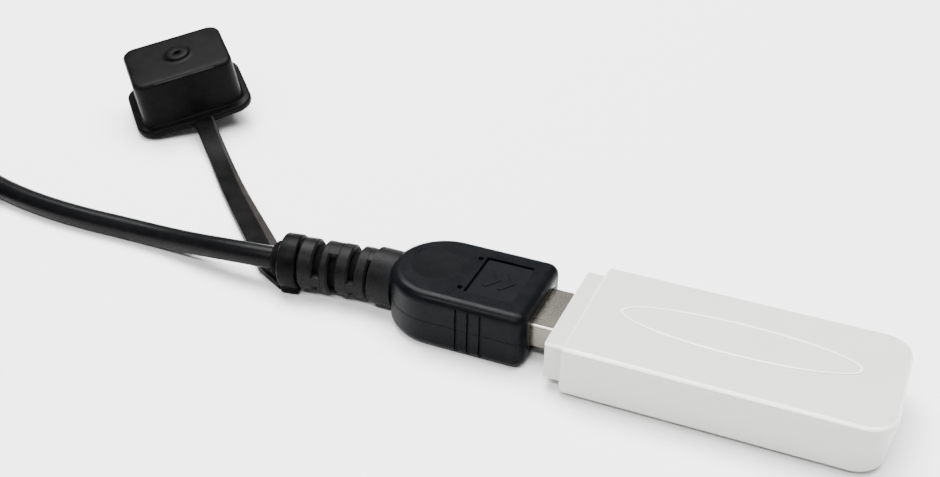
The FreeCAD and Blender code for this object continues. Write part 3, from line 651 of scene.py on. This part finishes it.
class PROG_OT_cable(bpy.types.Operator):
    """Lay the cable along its route, wind the spare length and lead it into the host plug"""
    bl_idname = "programmer.cable"
    bl_label = "Cable"

    def execute(self, context):
        s = context.scene.programmer_cable
        plug_low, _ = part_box("host_plug_strain_relief")
        out = (COIL_C.x, COIL_C.y - COIL_OUT - CABLE_D / 2, PLUG_Z)
        points = ROUTE + coil_points()[:-1] + [out, (plug_low.x + 0.3 * MM, out[1], PLUG_Z)]
        data = bpy.data.curves.new("cable", "CURVE")
        data.dimensions = "3D"
        spline = data.splines.new("NURBS")
        spline.points.add(len(points) - 1)
        for point, place in zip(spline.points, points):
            point.co = (*place, 1.0)
        spline.order_u = 3
        spline.use_endpoint_u = True
        spline.resolution_u = 6
        data.bevel_depth = s.diameter / 2
        data.bevel_resolution = 8
        data.use_fill_caps = True
        cable = bpy.data.objects.new("cable", data)
        context.scene.collection.objects.link(cable)
        data.materials.append(black_plastic("cable_pvc", s.color, 0.32, 0.2, 0.06))
        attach(cable, "socket")
        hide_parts("cable_jacket", "cable_tail", "cable_coil")
        return {"FINISHED"}


class PROG_OT_coil_tie(bpy.types.Operator):
    """Wrap the hook-and-loop tie round the coil, its end laid over itself"""
    bl_idname = "programmer.coil_tie"
    bl_label = "Coil tie"

    def execute(self, context):
        thick, width = 0.5 * MM, 9.0 * MM
        inner, outer = 17.5 * MM, 33.0 * MM
        low, high = 0.32 * MM, 9.3 * MM
        corner = 2.6 * MM
        over = 0.62 * MM  # how far the tie's loose end lies above its start
        route = []
        for x, z, turn in ((outer, low, -90), (outer, high, 0), (inner, high, 90), (inner, low, 180)):
            cx = x - math.copysign(corner, x - (inner + outer) / 2)
            cz = z - math.copysign(corner, z - (low + high) / 2)
            for k in range(7):
                a = math.radians(turn + 15 * k)
                route.append((cx + corner * math.cos(a), cz + corner * math.sin(a)))
        route.append(route[0])
        path = route + route[1:12]
        last = len(path) - 1
        loops = []
        for k, (x, z) in enumerate(path):
            after, before = path[min(k + 1, last)], path[max(k - 1, 0)]
            along = Vector((after[0] - before[0], 0, after[1] - before[1])).normalized()
            out = along.cross(Vector((0, 1, 0)))
            ahead = max(0.0, min(1.0, (k - len(route) + 4) / 4.0))
            at = Vector((x, 0, z)) + out * (ahead * over)
            loops.append(strap_section(at, Vector((0, 1, 0)), out, width, thick, 0.2 * MM, 3))
        turn = Matrix.Translation(COIL_C) @ Matrix.Rotation(math.pi, 4, "Z")
        verts, faces = skin([[turn @ p for p in loop] for loop in loops])
        tape = hook_tape("tie_fabric", (0.03, 0.03, 0.034))
        tie = piece_from("coil_tie_strap", verts, faces, tape)
        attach(tie, "socket")
        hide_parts("coil_tie")
        return {"FINISHED"}


class PROG_OT_tether(bpy.types.Operator):
    """Mould the tether ring, its lug and the flat strap that runs to the cap"""
    bl_idname = "programmer.tether"
    bl_label = "Tether"

    def execute(self, context):
        s = context.scene.programmer_tether
        mat = FINISHES["tether_rubber"] = rubber("tether_rubber", s.color, 0.34, 0.22, 0.03)
        self.ring(s, mat)
        self.lug(mat)
        # a paler rubber used as a painted highlight on the strap's shoulder and the cap's edge
        FINISHES["tether_painted_highlight"] = rubber("tether_painted_highlight", (0.013, 0.0115, 0.011), 0.5, 0.3, 0.05)
        self.strap(s, mat, FINISHES["tether_painted_highlight"])
        return {"FINISHED"}

    def ring(self, s, mat):
        """Band with rounded edges in the strain relief's groove."""
        half, edge, inner = RING_HALF, 0.45 * MM, 2.96 * MM
        profile = [(-half, inner), (-half, s.ring_radius - edge)]
        profile += [(edge * (1 - math.cos(a)) - half, s.ring_radius - edge * (1 - math.sin(a)))
                    for a in (math.radians(22.5 * k) for k in range(1, 5))]
        profile += [(-x, r) for x, r in reversed(profile)]
        side = RING_WAY.cross(UP).normalized()
        top = side.cross(RING_WAY)
        loops = []
        for x, r in profile:
            loops.append([RING_AT + RING_WAY * x + (side * math.cos(a) + top * math.sin(a)) * r
                          for a in (2 * math.pi * k / 64 for k in range(64))])
        verts, faces = skin(loops + loops[:1], False, False)
        ring = piece_from("tether_ring_band", verts, faces, mat)
        merge_doubles(ring)
        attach(ring, "ring")
        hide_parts("tether_ring")

    def lug(self, mat):
        """Square block under the ring, where the strap grows out of it."""
        bm = bmesh.new()
        bmesh.ops.create_cube(bm, size=1.0)
        yaw = math.atan2(-RING_WAY.y, -RING_WAY.x)
        place = (Matrix.Translation((RING_AT.x, RING_AT.y, 0)) @ Matrix.Rotation(yaw, 4, "Z")
                 @ Matrix.Translation((0, -0.7 * MM, 1.45 * MM))
                 @ Matrix.Diagonal((2 * RING_HALF, 5.2 * MM, 2.6 * MM, 1)))
        bmesh.ops.transform(bm, matrix=place, verts=bm.verts)
        bmesh.ops.bevel(bm, geom=bm.edges[:], offset=0.45 * MM, segments=4, profile=0.5, affect="EDGES")
        mesh = bpy.data.meshes.new("tether_lug")
        bm.to_mesh(mesh)
        bm.free()
        smooth(mesh)
        lug = bpy.data.objects.new("tether_lug", mesh)
        bpy.context.scene.collection.objects.link(lug)
        mesh.materials.append(mat)
        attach(lug, "ring")

    def strap(self, s, mat, wear_and_painted_highlight):
        """One flat strap in two lengths, each running over one flex line, its sloping shoulder given a paler
        material as a painted highlight.
        """
        flat = Vector((FLEX_CAP.x - FLEX_RING.x, FLEX_CAP.y - FLEX_RING.y, 0))
        u, v, w = (CAP_M.to_3x3() @ Vector(axis) for axis in ((1, 0, 0), (0, 1, 0), (0, 0, 1)))
        start = Vector((RING_AT.x - 0.8 * MM, -3.4 * MM, FLEX_RING.z))
        points = [start, FLEX_RING - STRAP_WAY * 4.5 * MM, FLEX_RING + STRAP_WAY * 2 * MM,
                  FLEX_RING + flat * 0.25 + STRAP_SIDE * 0.2 * MM,
                  FLEX_RING + flat * 0.5 + STRAP_SIDE * 0.3 * MM,
                  FLEX_RING + flat * 0.74 + Vector((0, 0, 0.25 * MM)),
                  FLEX_CAP - v * 2.5 * MM - w * 0.25 * MM,
                  FLEX_CAP + v * 0.6 * MM, FLEX_CAP + v * 3.2 * MM]
        path = smooth_path(points, 10)
        n = len(path) - 1
        loops = []
        for k, at in enumerate(path):
            t = k / n
            along = (path[min(k + 1, n)] - path[max(k - 1, 0)]).normalized()
            blend = max(0.0, min(1.0, (t - 0.45) / 0.45))
            blend = blend * blend * (3 - 2 * blend)
            side = (STRAP_SIDE * (1 - blend) - u * blend).normalized()
            side = (side - along * side.dot(along)).normalized()
            up = along.cross(side) * -1
            narrow = min(1.0, max(0.0, (t - 0.25) / 0.45))
            width = s.strap_root + (s.strap_width - s.strap_root) * narrow * narrow * (3 - 2 * narrow)
            width *= 0.7 + 0.3 * min(1.0, t / 0.15)
            fall = 1.0 - 0.8 * min(1.0, t / 0.8)
            slope = (2.2 * MM * fall, 0.4 * MM * fall)
            loops.append(strap_section(at, side, up, width, s.strap_thick, slope=slope))
        cut = n // 2
        for name, part, bodies, line, way in (
                ("tether_strap_lower", loops[:cut + 1], ("ring", "strap"), FLEX_RING, STRAP_WAY),
                ("tether_strap_upper", loops[cut:], ("strap", "cap"), FLEX_CAP, v)):
            verts, faces = skin(part)
            strap = piece_from(name, verts, faces, mat)
            strap.data.materials.append(wear_and_painted_highlight)
            around = len(part[0])
            # the shoulder faces get the paler rubber as a painted highlight
            for poly in strap.data.polygons[:around * (len(part) - 1)]:
                if SHOULDER[0] <= poly.index % around < SHOULDER[1]:
                    poly.material_index = 1
            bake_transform(strap)
            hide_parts("tether_strap")


class PROG_OT_dust_cap(bpy.types.Operator):
    """Mould the soft dust cap: hollow box, bowed flange and the boss on its closed end"""
    bl_idname = "programmer.dust_cap"
    bl_label = "Dust cap"

    def execute(self, context):
        s = context.scene.programmer_cap
        u, v, h, t = s.half_long, s.half_short, s.height, s.flange_thick
        f, g, b = s.flange, s.flange_front, s.flange_back

        def ring(right, front, back, corner, height, bow=0.0):
            return rounded_box_loop(right, front, back, corner, height, bow=bow, bow_u=1.2 * MM,
                                    bow_w=5.0 * MM)

        def even(grow, corner, height):
            return ring(u + grow, v + grow, v + grow, corner, height)

        (hu, hv), deep = HOLLOW_HALF, HOLLOW_DEEP
        loops = [ring(hu - 1.2 * MM, hv - 1.2 * MM, hv - 1.2 * MM, 0.5 * MM, deep),
                 ring(hu - 0.35 * MM, hv - 0.35 * MM, hv - 0.35 * MM, 1.2 * MM, deep - 0.12 * MM),
                 ring(hu, hv, hv, 1.5 * MM, deep - 0.6 * MM), ring(hu, hv, hv, 1.5 * MM, 0.5 * MM),
                 ring(hu + 0.15 * MM, hv + 0.15 * MM, hv + 0.15 * MM, 1.6 * MM, 0.12 * MM),
                 ring(hu + 0.45 * MM, hv + 0.45 * MM, hv + 0.45 * MM, 1.9 * MM, 0.0)]
        for inset, height in ((0.45, 0.0), (0.12, 0.12), (0.0, 0.45)):
            i = inset * MM
            loops.append(ring(u + f - i, v + g - i, v + b - i, 4.2 * MM - i, height * MM, 0.7 * MM))
        for inset, height in ((0.0, 0.45), (0.12, 0.12), (0.45, 0.0)):
            i = inset * MM
            loops.append(ring(u + f - i, v + g - i, v + b - i, 4.2 * MM - i, t - height * MM, 0.7 * MM))
        loops += [even(0.6 * MM, 3.4 * MM, t), even(0.28 * MM, 3.1 * MM, t + 0.12 * MM),
                  even(0.08 * MM, 2.9 * MM, t + 0.4 * MM), even(0.0, 2.8 * MM, t + 0.9 * MM),
                  even(-0.06 * MM, 2.8 * MM, h * 0.6), even(-0.1 * MM, 2.8 * MM, h - 1.1 * MM)]
        crest = len(loops) + 1
        for k in range(1, 6):
            a = math.radians(18 * k)
            loops.append(even(-0.1 * MM - 0.9 * MM * (1 - math.cos(a)), (2.8 - 0.9 * (1 - math.cos(a))) * MM,
                              h - 1.0 * MM + 0.9 * MM * math.sin(a)))
        loops.append(even(-2.2 * MM, 1.6 * MM, h - 0.06 * MM))
        rim = [math.atan2(p.y, p.x) for p in loops[-1]]
        for r, z in ((3.6, -0.06), (2.75, -0.04), (2.62, 0.08), (2.5, 0.42), (2.3, 0.52), (1.05, 0.5),
                     (0.8, 0.46), (0.66, 0.3), (0.62, -0.1)):
            loops.append([Vector((BOSS_AT[0] + r * MM * math.cos(a), BOSS_AT[1] + r * MM * math.sin(a),
                                  h + z * MM)) for a in rim])
        verts, faces = skin([[CAP_M @ p for p in loop] for loop in loops])
        cap = piece_from("dust_cap_moulding", verts, faces, FINISHES["tether_rubber"])
        # the cap's strap-side top edge gets the paler rubber as a painted highlight
        cap.data.materials.append(FINISHES["tether_painted_highlight"])
        around = len(rim)
        for k in range(around - PAINTED_HIGHLIGHT_FACES, around - 1):
            cap.data.polygons[crest * around + k].material_index = 1
        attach(cap, "cap")
        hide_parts("dust_cap")
        return {"FINISHED"}


class PROG_OT_finishes(bpy.types.Operator):
    """Give every hard sub-part its material"""
    bl_idname = "programmer.finishes"
    bl_label = "Finishes"

    def execute(self, context):
        s = context.scene.programmer_hard
        stick_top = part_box(SLEEVE)[1].z - RIDGE
        # box round the plug shell's flanks, which get painted shade
        shell_shaded_flanks = ((0, -1, -1), (1, 1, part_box("plug_shell")[1].z - 0.3 * MM))
        made = {
            "stick_white": white_plastic("stick_white", s.stick, 0.36, stick_top),
            "carrier_white": white_plastic("carrier_white", s.collar, 0.48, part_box(CARRIER)[1].z),
            "board_green": circuit_board("board_green", (0.012, 0.13, 0.045)),
            "nickel": plated("nickel", s.shell, 0.26, shaded_flanks=shell_shaded_flanks),
            "gold": plated("gold", (0.83, 0.58, 0.22), 0.28),
            "tin": plated("tin", (0.68, 0.68, 0.66), 0.35),
            "can_steel": plated("can_steel", (0.62, 0.62, 0.60), 0.25),
            "insulator_white": moulded("insulator_white", (0.72, 0.70, 0.63)),
            "insulator_black": moulded("insulator_black", (0.02, 0.02, 0.02)),
            "chip_black": moulded("chip_black", (0.018, 0.018, 0.02), 0.55),
            "led_clear": clear_lens("led_clear", (0.7, 0.78, 0.62)),
            "ceramic_tan": moulded("ceramic_tan", (0.36, 0.24, 0.13), 0.4),
            "resistor_black": moulded("resistor_black", (0.02, 0.02, 0.022), 0.35),
            "housing_black": housing_plastic("housing_black", s.housing, 0.31),
            "boot_rubber": boot_rubber("boot_rubber", s.boot, 0.42),
            "premold_grey": moulded("premold_grey", (0.28, 0.29, 0.29), 0.45),
            "wire_red": moulded("wire_red", (0.5, 0.02, 0.015), 0.4),
            "wire_white": moulded("wire_white", (0.75, 0.75, 0.72), 0.4),
            "wire_green": moulded("wire_green", (0.02, 0.3, 0.05), 0.4),
            "wire_black": moulded("wire_black", (0.015, 0.015, 0.015), 0.4),
        }
        for part in frame["record"]["subparts"]:
            slot, obj = part["material_slot"], frame["nodes"][part["node"]]
            if slot in made and not obj.hide_render:
                obj.data.materials.clear()
                obj.data.materials.append(made[slot])
        return {"FINISHED"}


class PROG_OT_declare_cable(bpy.types.Operator):
    """A step that does nothing; the cable's real length, thickness and what hangs on its end are not stated here.
    """
    bl_idname = "programmer.declare_cable"
    bl_label = "Declare cable"

    def execute(self, context):
        return {"FINISHED"}


class PROG_OT_stage(bpy.types.Operator):
    """Lay the pale table and set the soft lights"""
    bl_idname = "programmer.stage"
    bl_label = "Stage"

    def execute(self, context):
        s = context.scene.programmer_stage
        mesh = bpy.data.meshes.new("table_top")
        corners = [(x * FLOOR_HALF, y * FLOOR_HALF, 0) for x, y in ((-1, -1), (1, -1), (1, 1), (-1, 1))]
        mesh.from_pydata(corners, [], [(0, 1, 2, 3)])
        floor = bpy.data.objects.new("table_top", mesh)
        floor.location.z = -FLOOR_DROP
        mesh.materials.append(paper("table_paper", s.floor))
        context.scene.collection.objects.link(floor)
        world = bpy.data.worlds.new("studio")
        world.use_nodes = True
        sky = world.node_tree.nodes["Background"]
        sky.inputs["Color"].default_value = (1.0, 1.0, 1.0, 1.0)
        sky.inputs["Strength"].default_value = WORLD_STRENGTH
        context.scene.world = world
        for name, place, size, power in LAMPS:
            self.lamp(context, name, Vector(place), size, power)
        return {"FINISHED"}

    def lamp(self, context, name, place, size, power):
        """One soft rectangular light that faces the part."""
        data = bpy.data.lights.new(name, "AREA")
        data.shape, data.size, data.size_y, data.energy = "RECTANGLE", *size, power
        lamp = bpy.data.objects.new(name, data)
        lamp.location = place
        lamp.rotation_euler = (LAMP_AIM - place).to_track_quat("-Z", "Y").to_euler()
        context.scene.collection.objects.link(lamp)


class PROG_PT_panel(bpy.types.Panel):
    """Every step of the programmer, in order"""
    bl_label = "Stick programmer"
    bl_idname = "PROG_PT_panel"
    bl_space_type = "VIEW_3D"
    bl_region_type = "UI"
    bl_category = "Programmer"

    def draw(self, context):
        scene = context.scene
        for group, steps in (("programmer_stage", ("camera", "stage")),
                             ("programmer_cable", ("cable", "coil_tie")),
                             ("programmer_tether", ("tether",)),
                             ("programmer_cap", ("dust_cap",)),
                             ("programmer_hard", ("finishes", "declare_cable"))):
            box = self.layout.box()
            for name in getattr(scene, group).__annotations__:
                box.prop(getattr(scene, group), name)
            for step in steps:
                box.operator("programmer." + step)


GROUPS = {"programmer_cable": CableSettings, "programmer_tether": TetherSettings,
          "programmer_cap": CapSettings, "programmer_hard": HardSettings, "programmer_stage": StageSettings}
OPERATORS = (PROG_OT_camera, PROG_OT_cable, PROG_OT_coil_tie, PROG_OT_tether, PROG_OT_dust_cap,
             PROG_OT_finishes, PROG_OT_declare_cable, PROG_OT_stage)


def register():
    for cls in (*GROUPS.values(), *OPERATORS, PROG_PT_panel):
        bpy.utils.register_class(cls)
    for name, group in GROUPS.items():
        setattr(bpy.types.Scene, name, bpy.props.PointerProperty(type=group))


def unregister():
    for name in GROUPS:
        delattr(bpy.types.Scene, name)
    for cls in (PROG_PT_panel, *reversed(OPERATORS), *GROUPS.values()):
        bpy.utils.unregister_class(cls)


def main():
    register()
    for cls in OPERATORS:
        group, step = cls.bl_idname.split(".")
        getattr(getattr(bpy.ops, group), step)()


if __name__ == "__main__":
    main()
